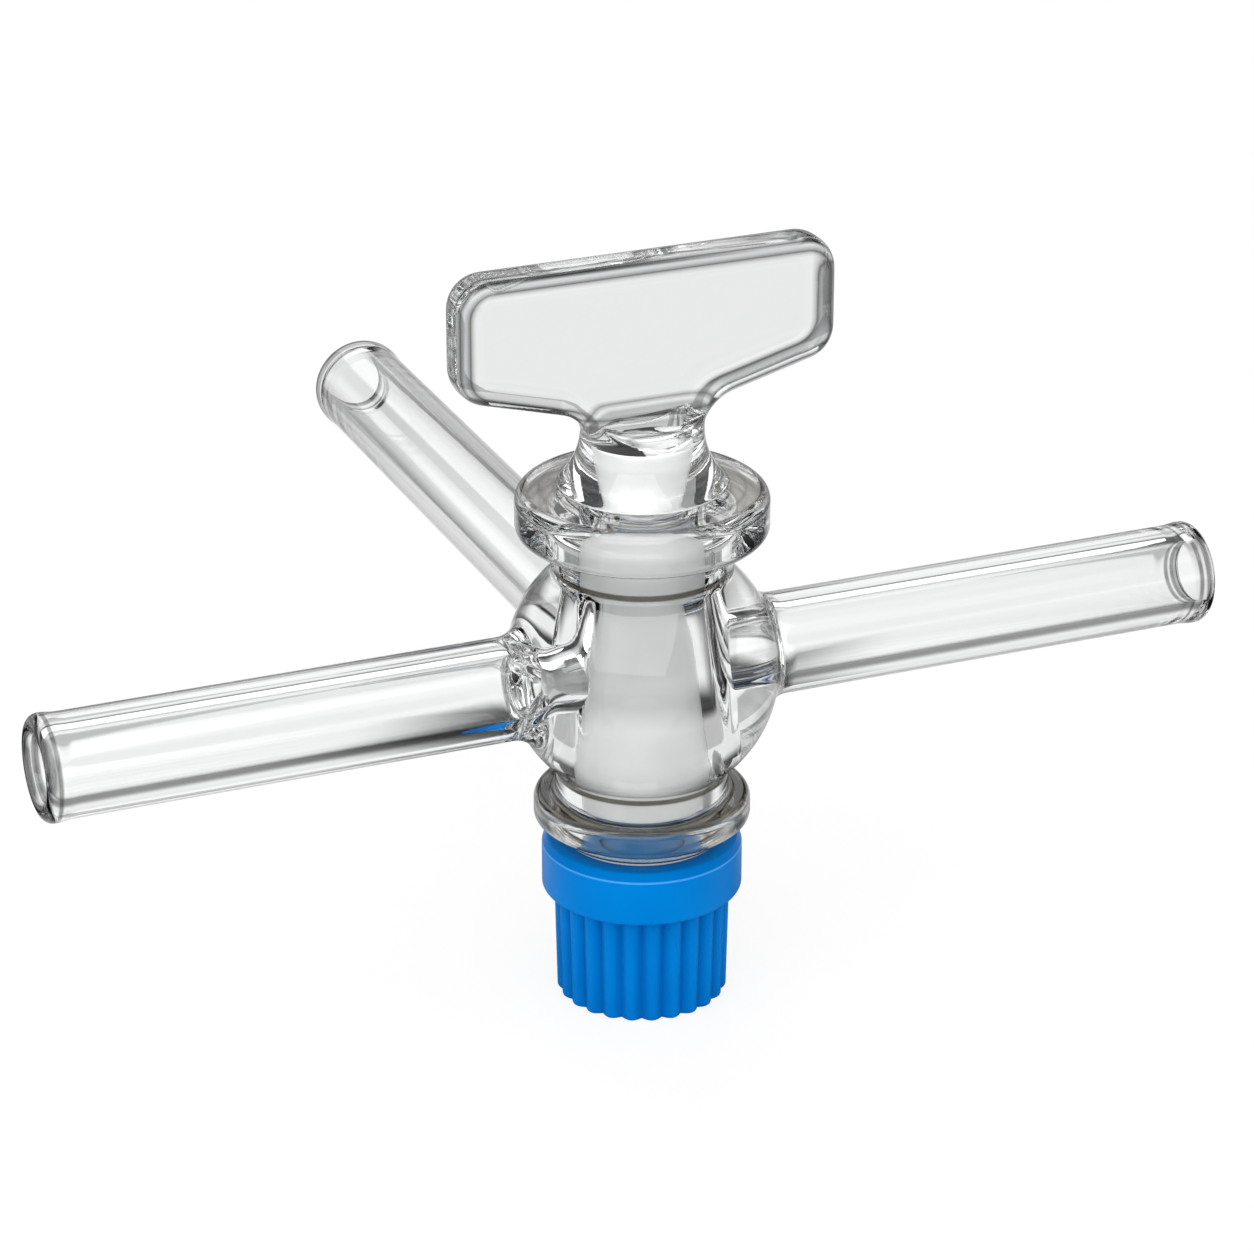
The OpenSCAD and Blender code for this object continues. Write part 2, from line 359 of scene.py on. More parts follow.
@dataclass(frozen=True)
class PressedGlass(ClearGlass):
    """The handle's glass, with painted reflections: bands along its rounded edges and rings over the socket's end."""

    name: str = "pressed_glass"
    # painted reflections: bands across the slab's thickness, along its rounded edges
    bands: Stops = (
        (0.0, (0.35, 0.35, 0.36)), (0.16, (0.90, 0.90, 0.90)), (0.32, (0.10, 0.10, 0.095)),
        (0.44, (0.85, 0.85, 0.85)), (0.58, (0.03, 0.03, 0.03)), (0.70, (0.62, 0.63, 0.65)),
        (0.84, (0.02, 0.02, 0.018)), (0.93, (0.95, 0.95, 0.95)))
    half_thick: float = 3.1
    slab: Point = (60.5, 2.0)
    # painted reflections: rings over the socket's end
    rings: Stops = (*greys((0.25, 1.0), (0.32, 0.15), (0.38, 0.75), (0.46, 0.38)),
                    (0.62, (0.32, 0.32, 0.33)), *greys((0.70, 0.90), (0.80, 0.15), (0.90, 1.0)))
    ring_span: float = 4.4
    above: Point = (57.8, 0.5)

    def painted_lines(self, net: Network) -> Socket:
        """Painted reflections: rings over the socket's end, and bands that run along the slab's rounded edges.

        Args:
            net: the material's network.

        Returns:
            Their tint.
        """
        _, y, z, _ = net.spot()
        rings = net.ramp((z - self.above[0]) * (1.0 / self.ring_span), self.rings)
        bands = net.ramp(y.size() * (1.0 / self.half_thick), self.bands)
        return net.tinted(rings, bands, net.step(z, *self.slab))

    def line_share(self, net: Network) -> Socket:
        """Where the rings and the bands count, from 0 to 1: above the socket."""
        return net.step(net.spot()[2], *self.above)


@dataclass(frozen=True)
class WhiteFluoropolymer(Finish):
    """Machined white fluoropolymer: waxy, slightly translucent and faintly mottled, with painted shade in bands up the
    plug.
    """

    name: str = "white_fluoropolymer"
    light: Colour = (0.96, 0.96, 0.955)
    dark: Colour = (0.91, 0.91, 0.905)
    # painted shade: the plug greyer from the arms up to the rim, with a darker line at that band's lower edge and
    # slightly darker at the spigot
    bands: Stops = greys((0.37, 1.0), (0.43, 0.74), (0.48, 0.80), (0.84, 0.80), (0.86, 1.0), (0.97, 1.0), (1.0, 0.94))
    shade_band_low: float = 18.0
    shade_band_span: float = 36.0
    cloud_waves: float = 350.0
    grain_waves: float = 4000.0
    grain_depth: float = 0.008 * MM

    def shader(self, net: Network) -> Socket:
        """A waxy white surface.

        Args:
            net: the material's network.

        Returns:
            The surface's shader.
        """
        grain = net.noise(self.grain_waves, detail=2.0)
        mottled = net.ramp(net.noise(self.cloud_waves, detail=3.0), ((0.3, self.dark), (0.7, self.light)))
        # painted shade by height
        bands = net.ramp((net.spot()[2] - self.shade_band_low) * (1.0 / self.shade_band_span), self.bands)
        return net.node("BsdfPrincipled", {
            "Base Color": net.tinted(mottled, bands),
            "Roughness": 0.34 + 0.14 * grain,
            "IOR": 1.37,
            "Subsurface Weight": 0.35, "Subsurface Radius": (1.0, 0.95, 0.9), "Subsurface Scale": 0.7 * MM,
            "Normal": net.bump(grain, self.grain_depth),
        })[0]


@dataclass(frozen=True)
class BluePlastic(Finish):
    """Moulded blue plastic: a soft gloss, painted shade in the grooves and on the top bevel, and a painted highlight
    along the bevel's edge.
    """

    name: str = "blue_plastic"
    light: Colour = (0.0, 0.200, 0.620)
    dark: Colour = (0.0, 0.178, 0.565)
    sheen: Colour = (0.02, 0.45, 1.0)
    flow_waves: float = 120.0
    grain_waves: float = 3500.0
    grain_depth: float = 0.01 * MM
    # painted shade: darker where the surface lies inside the grip's outer radius, in the grooves and the recesses
    groove: Point = (8.0, 0.5)
    groove_shade: Colour = (0.72, 0.78, 0.84)
    # painted shade: the collar's top bevel and top face darker
    bevel: Point = (15.9, 0.05)
    bevel_shade: Colour = (0.80, 0.84, 0.88)
    # painted highlight: a lighter line round the collar where the bevel meets the side, varied by the flow noise
    highlight_band: Point = (0.04, 0.10)
    highlight_least: float = 0.35
    highlight_more: float = 0.5
    painted_highlight: Colour = (0.09, 0.38, 0.85)

    def shader(self, net: Network) -> Socket:
        """A smooth blue surface.

        Args:
            net: the material's network.

        Returns:
            The surface's shader.
        """
        flow, grain = net.noise(self.flow_waves, detail=2.0), net.noise(self.grain_waves, detail=3.0)
        _, _, z, out = net.spot()
        # painted shade in the grooves and on the inner surfaces
        shade = net.ramp(net.step(out, *self.groove), ((0.0, self.groove_shade), (1.0, WHITE)))
        colour = net.tinted(net.ramp(flow, ((0.3, self.dark), (0.7, self.light))), shade)
        # painted shade over the top bevel and the top face
        colour = net.faded(colour, net.step(z, *self.bevel), self.bevel_shade)
        # painted highlight along the bevel's edge
        painted_highlight = net.step((z - self.bevel[0]).size(), *self.highlight_band, falling=True)
        painted_highlight = painted_highlight * (self.highlight_least + self.highlight_more * flow)
        return net.node("BsdfPrincipled", {
            "Base Color": net.mix(painted_highlight, colour, (*self.painted_highlight, 1.0)),
            "Roughness": 0.26 + 0.10 * grain,
            "IOR": 1.49, "Specular IOR Level": 0.07, "Specular Tint": (*self.sheen, 1.0),
            "Normal": net.bump(grain, self.grain_depth),
        })[0]


@dataclass(frozen=True)
class BlackElastomer(Finish):
    """Black O-ring rubber with a faint bloom."""

    name: str = "black_elastomer"
    colour: Colour = (0.018, 0.018, 0.019)
    paler: float = 2.2
    bloom_waves: float = 900.0

    def shader(self, net: Network) -> Socket:
        """A dull black surface.

        Args:
            net: the material's network.

        Returns:
            The surface's shader.
        """
        bloom = net.noise(self.bloom_waves, detail=3.0)
        pale = tuple(self.paler * part for part in self.colour)
        return net.node("BsdfPrincipled", {
            "Base Color": net.ramp(bloom, ((0.35, self.colour), (0.8, pale))),
            "Roughness": 0.42 + 0.2 * bloom,
        })[0]


@dataclass(frozen=True)
class FloorPaper(Finish):
    """Pale paper, on which reflected and refracted rays see a lit sweep, lit rows and darker ground."""

    name: str = "pale_floor"
    azimuth: float = -22.5
    paper: float = 0.9
    camera_share: float = 0.85
    sweep_half: Point = (68.0, 24.0)
    sweep_from: Point = (38.0, 24.0)
    row_half: Point = (66.0, 24.0)
    row_gap: Point = (8.0, 22.0)
    row_from: Point = (2.0, 18.0)
    row_near: float = 0.20
    row_level: float = 0.90
    far: Point = (95.0, 45.0)
    far_level: float = 0.89
    round_from: Point = (105.0, 35.0)
    round_level: float = 0.48
    surround: float = 0.035

    def shader(self, net: Network) -> Socket:
        """White for the camera, banded light for glass and gloss, plain paper for the rest.

        Args:
            net: the material's network.

        Returns:
            The surface's shader.
        """
        rays = net.node("LightPath")
        place = net.node("VectorMath", {0: net.place(), "Scale": 1.0 / MM}, operation="SCALE")[0]
        turned_place = net.node("Mapping", {
            "Vector": place, "Rotation": (0.0, 0.0, -math.radians(self.azimuth))}, vector_type="POINT")[0]
        across, along, _ = (part.size() for part in net.parts(turned_place))
        behind = net.parts(place)[1].size()
        sweep = net.step(across, *self.sweep_half, falling=True) * net.step(behind, *self.sweep_from)
        row = net.step(across, *self.row_half, falling=True) * net.step(across, *self.row_gap)
        row = row * (self.row_near + (self.row_level - self.row_near) * net.step(behind, *self.row_from))
        far = 1.0 - (1.0 - self.far_level) * net.step(along, *self.far)
        away = net.node("VectorMath", {0: place}, operation="LENGTH")[1]
        around = net.step(away, *self.round_from) * self.round_level
        lit = (sweep.at_least(row) * far).at_least(around) * (1.0 - self.surround) + self.surround
        seen = (rays[0] * self.camera_share).at_least(rays[3]).at_least(rays[6])
        paper = net.node("BsdfDiffuse", {"Color": (self.paper, self.paper, self.paper, 1.0)})[0]
        white = net.node("Emission", {
            "Color": (*WHITE, 1.0), "Strength": rays[0].at_least(lit)})[0]
        return net.node("MixShader", {0: seen, 1: paper, 2: white})[0]


# ---- modelling kit


ROUND = 128  # sides of a turned form or a drilled hole
SEED = 0.1 * MM  # the plane that is merged into a chain's first vertex
PAST = 1.0  # millimetres that a hole is drilled past the piece
EASE = 0.05  # millimetres from a rounded edge to the point that holds the flat beside it
LEAST = 0.02  # millimetres from a lip's last point to the bore
DOUBLE = 0.0005 * MM  # points closer than this are merged
NEARLY = 0.999  # the share of a direction that counts as along it


class Axis(Enum):
    """The way a turned form points."""

    UP = (0.0, 0.0, 1.0)
    RIGHT = (1.0, 0.0, 0.0)
    LEFT = (-1.0, 0.0, 0.0)
    BACK = (0.0, 1.0, 0.0)

    def across(self) -> Vector:
        """The direction in which a profile's radius is drawn."""
        return Vector((1.0, 0.0, 0.0)) if self is Axis.UP else Vector((0.0, 0.0, 1.0))

    def along(self) -> Vector:
        """The axis as a vector."""
        return Vector(self.value)


def arc(x: float, z: float, r: float, start: float, stop: float, steps: int) -> list[Point]:
    """Points of an arc round (x, z), from one angle in degrees to another, both ends included."""
    angles = [math.radians(start + (stop - start) * i / steps) for i in range(steps + 1)]
    return [(x + r * math.cos(t), z + r * math.sin(t)) for t in angles]


def ease_between(start: Point, stop: Point, steps: int) -> list[Point]:
    """A smooth S from one point to another.

    Args:
        start: radius and height of its first point.
        stop: radius and height of its last point.
        steps: how many steps it is cut into.

    Returns:
        Its points, both ends included.
    """
    shares = [(i / steps, (1 - math.cos(math.pi * i / steps)) / 2) for i in range(steps + 1)]
    return [(start[0] + (stop[0] - start[0]) * eased, start[1] + (stop[1] - start[1]) * share)
            for share, eased in shares]


def disc(r: float, edge: float, low: float, high: float, steps: int) -> list[Point]:
    """The outside of a disc with rounded edges.

    Args:
        r: the disc's radius.
        edge: the edges' radius.
        low: height of its underside.
        high: height of its top.
        steps: how many steps each edge is cut into.

    Returns:
        Points from the underside to the top, with one beside each edge that holds the flat.
    """
    beside = r - edge - EASE
    return [(beside, low), *arc(r - edge, low + edge, edge, -90.0, 0.0, steps),
            *arc(r - edge, high - edge, edge, 0.0, 90.0, steps), (beside, high)]


def nothing_selected() -> None:
    """Leaves edit mode and deselects every object."""
    if bpy.context.object and bpy.context.object.mode != "OBJECT":
        bpy.ops.object.mode_set(mode="OBJECT")
    bpy.ops.object.select_all(action="DESELECT")


def make_active(*pieces: Piece) -> None:
    """Selects only these pieces and makes the first one active.

    Args:
        pieces: the pieces.
    """
    nothing_selected()
    for piece in pieces:
        piece.select_set(True)
    bpy.context.view_layer.objects.active = pieces[0]


def edit(kind: str) -> None:
    """Enters edit mode for vertices, edges or faces, with all of them selected."""
    bpy.ops.object.mode_set(mode="EDIT")
    bpy.ops.mesh.select_mode(type=kind)
    bpy.ops.mesh.select_all(action="SELECT")


def close_up() -> None:
    """Turns the normals of the mesh being edited outwards and leaves edit mode."""
    bpy.ops.mesh.select_all(action="SELECT")
    bpy.ops.mesh.normals_make_consistent(inside=False)
    bpy.ops.object.mode_set(mode="OBJECT")


def applied() -> Piece:
    """The object that was just added, with its place, turn and size applied to its mesh."""
    bpy.ops.object.transform_apply(location=True, rotation=True, scale=True)
    return bpy.context.object


def draw_chain(name: str, points: list[Vector]) -> Piece:
    """Draws a chain of edges by extruding a vertex from point to point.

    Args:
        name: the new object's name.
        points: the chain's points.

    Returns:
        The object, in edit mode with everything selected.
    """
    nothing_selected()
    bpy.ops.mesh.primitive_plane_add(size=SEED, location=points[0])
    chain = applied()
    chain.name = name
    edit("VERT")
    bpy.ops.mesh.merge(type="CENTER")
    for here, there in zip(points, points[1:]):
        bpy.ops.mesh.extrude_vertices_move(TRANSFORM_OT_translate={"value": there - here})
    bpy.ops.mesh.select_all(action="SELECT")
    return chain


def turned(name: str, profile: list[Point], axis: Axis, centre: Vector, steps: int = ROUND) -> Piece:
    """Turns a profile into a form of revolution.

    Args:
        name: the new object's name.
        profile: radius and height of each point, in millimetres.
        axis: the way the heights point.
        centre: where height 0 lies.
        steps: how many steps the full turn is cut into.

    Returns:
        The form, with its doubles merged and its normals outwards.
    """
    across, along = axis.across() * MM, axis.along() * MM
    form = draw_chain(name, [centre + r * across + h * along for r, h in profile])
    bpy.ops.mesh.spin(steps=steps, angle=2 * math.pi, center=centre, axis=axis.along())
    bpy.ops.mesh.select_all(action="SELECT")
    bpy.ops.mesh.remove_doubles(threshold=DOUBLE)
    close_up()
    return form


def apply_modifier(piece: Piece, kind: str, **settings: object) -> None:
    """Adds a modifier to a piece and applies it.

    Args:
        piece: the piece.
        kind: the modifier's type.
        settings: the modifier's settings.
    """
    make_active(piece)
    modifier = piece.modifiers.new(kind.title(), kind)
    for name, value in settings.items():
        setattr(modifier, name, value)
    bpy.ops.object.modifier_apply(modifier=modifier.name)


def combine(piece: Piece, tool: Piece, operation: str) -> None:
    """Joins a tool to a piece (UNION) or cuts it away (DIFFERENCE), and deletes the tool."""
    apply_modifier(piece, "BOOLEAN", operation=operation, object=tool, solver="EXACT")
    bpy.data.objects.remove(tool, do_unlink=True)


def drill(piece: Piece, r: float, ends: tuple[Vector, Vector], sides: int = ROUND,
          far_r: float | None = None) -> None:
    """Drills a round hole into a piece, from one point to another.

    Args:
        piece: the piece.
        r: the radius at the first point, in millimetres.
        ends: the two points.
        sides: sides of the round.
        far_r: the radius at the second point, where it differs.
    """
    nothing_selected()
    way = ends[1] - ends[0]
    bpy.ops.mesh.primitive_cone_add(
        vertices=sides, radius1=r * MM, radius2=(far_r or r) * MM, depth=way.length,
        location=(ends[0] + ends[1]) / 2, rotation=Vector((0, 0, 1)).rotation_difference(way).to_euler())
    combine(piece, applied(), "DIFFERENCE")


def dress(piece: Piece, finish: Finish) -> None:
    """Gives a piece one finish."""
    piece.data.materials.clear()
    piece.data.materials.append(finish.material())


def finish_piece(piece: Piece, name: str, finish: Finish, body: str, node: str,
                 sharp: float = 30.0) -> None:
    """Smooths a piece, names and dresses it, and hands it to the frame.

    Args:
        piece: the piece.
        name: its final name.
        finish: its finish.
        body: the CAD body that it rides on.
        node: the CAD node that it stands for.
        sharp: edges sharper than this angle in degrees are kept.
    """
    make_active(piece)
    bpy.ops.object.shade_smooth_by_angle(angle=math.radians(sharp))
    piece.name = name
    dress(piece, finish)
    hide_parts(node)
    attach(piece, body)
    LOG.info("%s: %d faces on %s", name, len(piece.data.polygons), body)


# ---- pieces


@dataclass
class Levels:
    """Heights over the surface that the nut rests on, in millimetres."""

    arms: float = 34.4
    foot: float = 17.1
    rim_top: float = 52.9
    shoulder: float = 53.2
    stem: float = 59.0

    def at(self, height: float) -> Vector:
        """The point on the plug's axis at a height in millimetres."""
        return Vector((0.0, 0.0, height * MM))


@dataclass
class Barrel:
    """The blown barrel: a globe with two necks and three arms, bored for the plug."""

    levels: Levels
    finish: Finish
    steps: int = 96
    fillet_steps: int = 14
    lip_steps: int = 20
    rim_steps: int = 12
    bead_steps: int = 10
    small_steps: int = 8
    bridge_cuts: int = 7
    arm_r: float = 5.0
    arm_bore_r: float = 3.2
    port_r: float = 2.5
    flare_start: float = 7.0
    flare_end: float = 13.6
    run_arm: float = 60.0
    branch_arm: float = 82.0
    lip_bead: float = 0.15
    lip_turn: float = 150.0
    arm_fillet: float = 3.0
    globe_r: float = 13.2
    neck_r: float = 8.4
    neck_fillet: float = 1.2
    rim_r: float = 12.1
    rim_t: float = 4.7
    rim_edge: float = 1.2
    rim_fillet: float = 0.7
    bead_r: float = 10.5
    bead_t: float = 2.8
    bead_edge: float = 0.8
    bead_drop: float = 13.0
    foot_edge: float = 0.6
    plug_r: float = 5.9
    plug_taper: float = 0.006
    plug_gap: float = 0.05
    mouth: float = 0.5
    port_end: float = 4.5
    swell_start: float = 2.9
    swell_len: float = 1.75

    def fillet_arc(self, rod_r: float, q: float) -> list[Point]:
        """The curve from the globe into a coaxial rod.

        Args:
            rod_r: the rod's radius.
            q: the fillet's radius.

        Returns:
            Points from the globe to the rod.
        """
        x = rod_r + q
        z = math.sqrt((self.globe_r + q) ** 2 - x ** 2)
        start = 180.0 + math.degrees(math.atan2(z, x))
        return arc(x, z, q, start, 180.0, self.fillet_steps)

    def arm_profile(self, length: float) -> list[Point]:
        """An arm from the globe along its outside, round its lip and back down its bore.

        Args:
            length: the arm's length from the plug's axis.

        Returns:
            The profile's points.
        """
        bore = self.arm_bore_r
        lip_r = (self.arm_r - bore) / 2 + self.lip_bead
        middle = (self.arm_r + bore) / 2
        start = length - self.swell_start
        swell = ease_between((self.arm_r, start), (self.arm_r + self.lip_bead, start + self.swell_len),
                             self.small_steps)
        lip = [point for point in arc(middle, length - lip_r, lip_r, 0.0, self.lip_turn, self.lip_steps)[1:]
               if point[0] > bore + LEAST]
        inner = length - lip_r + math.sqrt(lip_r ** 2 - (middle - bore) ** 2)
        flare = ease_between((bore, self.flare_end), (self.port_r, self.flare_start), self.fillet_steps)
        return [*self.fillet_arc(self.arm_r, self.arm_fillet), *swell, *lip, (bore, inner), (bore, inner - 2 * EASE),
                *flare, (self.port_r, self.port_end), (0.0, self.port_end)]

    def neck(self, end: float) -> list[Point]:
        """A neck from the globe to the face, at a height, that it runs into."""
        f = self.rim_fillet
        return [*self.fillet_arc(self.neck_r, self.neck_fillet),
                *arc(self.neck_r + f, end - f, f, 180.0, 90.0, self.small_steps)]

    def upper_profile(self) -> list[Point]:
        """The upper neck and the thick rim.

        Returns:
            Points from the globe to the axis, heights from the arms' axis.
        """
        top = self.levels.rim_top - self.levels.arms
        under = top - self.rim_t
        return [*self.neck(under), *disc(self.rim_r, self.rim_edge, under, top, self.rim_steps),
                (self.plug_r + self.mouth, top), (0.0, top)]

    def lower_profile(self) -> list[Point]:
        """The lower neck, the bead and the foot ring.

        Returns:
            Points from the globe to the axis, as depths below the arms' axis.
        """
        top, foot = self.bead_drop, self.levels.arms - self.levels.foot
        under = top + self.bead_t
        f, g = self.rim_fillet, self.foot_edge
        return [*self.neck(top), *disc(self.bead_r, self.bead_edge, top, under, self.bead_steps),
                *arc(self.neck_r + f, under + f, f, 270.0, 180.0, self.small_steps),
                *arc(self.neck_r - g, foot - g, g, 0.0, 90.0, self.small_steps),
                (self.neck_r - g - EASE, foot), (self.plug_r + self.mouth, foot), (0.0, foot)]

    def blow(self, shell: Piece, first: int) -> None:
        """Pushes vertices out to the globe's surface.

        Args:
            shell: the piece being edited.
            first: the first of them.
        """
        centre = self.levels.at(self.levels.arms)
        mesh = bmesh.from_edit_mesh(shell.data)
        mesh.verts.ensure_lookup_table()
        for vertex in mesh.verts[first:]:
            vertex.co = centre + (vertex.co - centre).normalized() * self.globe_r * MM
        bmesh.update_edit_mesh(shell.data)

    def globe(self) -> Piece:
        """The globe as a rounded cube, open where the necks and arms go.

        Returns:
            The globe.
        """
        cells = self.steps // 4 + 2  # an opening's side, and a row that stays on each side of it
        nothing_selected()
        centre = self.levels.at(self.levels.arms)
        bpy.ops.mesh.primitive_cube_add(size=2 * self.globe_r * MM, location=centre)
        globe = applied()
        edit("FACE")
        bpy.ops.mesh.subdivide(number_cuts=cells - 1)
        mesh = bmesh.from_edit_mesh(globe.data)
        inner = self.globe_r * MM * (1 - 2 / cells)
        for face in mesh.faces:
            middle = face.calc_center_median() - centre
            size = sorted(abs(c) for c in middle)
            face.select = size[1] < inner and middle.y > -NEARLY * self.globe_r * MM
        bmesh.update_edit_mesh(globe.data)
        bpy.ops.mesh.delete(type="FACE")
        self.blow(globe, 0)
        nothing_selected()
        return globe

    def bridge(self, shell: Piece) -> None:
        """Bridges each opening of the globe to the neck or arm in front of it.

        Args:
            shell: the globe, necks and arms as one object.
        """
        centre = self.levels.at(self.levels.arms)
        edit("EDGE")
        for way in ((1, 0, 0), (-1, 0, 0), (0, 1, 0), (0, 0, 1), (0, 0, -1)):
            bpy.ops.mesh.select_all(action="DESELECT")
            mesh = bmesh.from_edit_mesh(shell.data)
            before = len(mesh.verts)
            for edge in mesh.edges:
                middle = (edge.verts[0].co + edge.verts[1].co) / 2 - centre
                size = max(abs(c) for c in middle)
                edge.select = len(edge.link_faces) == 1 and middle.dot(Vector(way)) > NEARLY * size
            bmesh.update_edit_mesh(shell.data)
            bpy.ops.mesh.bridge_edge_loops(number_cuts=self.bridge_cuts, interpolation="LINEAR")
            self.blow(shell, before)
        close_up()

    def build(self) -> None:
        """Builds the barrel and hands it over."""
        centre = self.levels.at(self.levels.arms)
        parts = [
            self.globe(),
            turned("upper_neck", self.upper_profile(), Axis.UP, centre, self.steps),
            turned("lower_neck", [(r, -h) for r, h in self.lower_profile()], Axis.UP, centre, self.steps),
            *[turned(f"{axis.name.lower()}_arm", self.arm_profile(length), axis, centre, self.steps) for axis, length
              in ((Axis.RIGHT, self.run_arm), (Axis.LEFT, self.run_arm), (Axis.BACK, self.branch_arm))],
        ]
        make_active(*parts)
        bpy.ops.object.join()
        shell = bpy.context.object
        self.bridge(shell)
        low, high = self.levels.foot - PAST, self.levels.rim_top + PAST
        radii = [self.plug_r + self.plug_gap + self.plug_taper * (h - self.levels.arms) for h in (low, high)]
        drill(shell, radii[0], (self.levels.at(low), self.levels.at(high)), far_r=radii[1])
        finish_piece(shell, "glass_barrel", self.finish, "barrel", "barrel")


@dataclass
class Plug:
    """The white plug: T-bored body, spigot for the handle and threaded stub for the nut."""

    levels: Levels
    finish: Finish
    port_sides: int = 64
    edge_steps: int = 5
    r: float = 5.9
    taper: float = 0.006
    port_r: float = 2.5
    spigot_r: float = 5.0
    spigot_h: float = 4.8
    stub_r: float = 4.0
    stub_low: float = 3.0
    stub_chamfer: float = 0.6
    low: float = 20.1
    edge: float = 0.3
    reach: float = 8.0

    def profile(self) -> list[Point]:
        """Half section from the stub's end up to the spigot's top.

        Returns:
            The points, heights over the resting surface.
        """
        e = self.edge
        low_r, top_r = (self.r + self.taper * (h - self.levels.arms) for h in (self.low, self.levels.shoulder))
        tip = self.levels.shoulder + self.spigot_h
        cut = self.stub_chamfer
        return [(0.0, self.stub_low), (self.stub_r - cut, self.stub_low), (self.stub_r, self.stub_low + cut),
                (self.stub_r, self.low), (low_r - e, self.low),
                *arc(low_r - e, self.low + e, e, -90.0, 0.0, self.edge_steps),
                *arc(top_r - e, self.levels.shoulder - e, e, 0.0, 90.0, self.edge_steps),
                (self.spigot_r, self.levels.shoulder),
                *arc(self.spigot_r - e, tip - e, e, 0.0, 90.0, self.edge_steps), (0.0, tip)]

    def build(self) -> None:
        """Builds the plug and hands it over."""
        plug = turned("plug_body", self.profile(), Axis.UP, Vector())
        middle = self.levels.at(self.levels.arms)
        side, back = Axis.RIGHT.along() * self.reach * MM, Axis.BACK.along() * self.reach * MM
        drill(plug, self.port_r, (middle - side, middle + side), self.port_sides)
        drill(plug, self.port_r, (middle, middle + back), self.port_sides)
        finish_piece(plug, "white_plug", self.finish, "key", "plug")


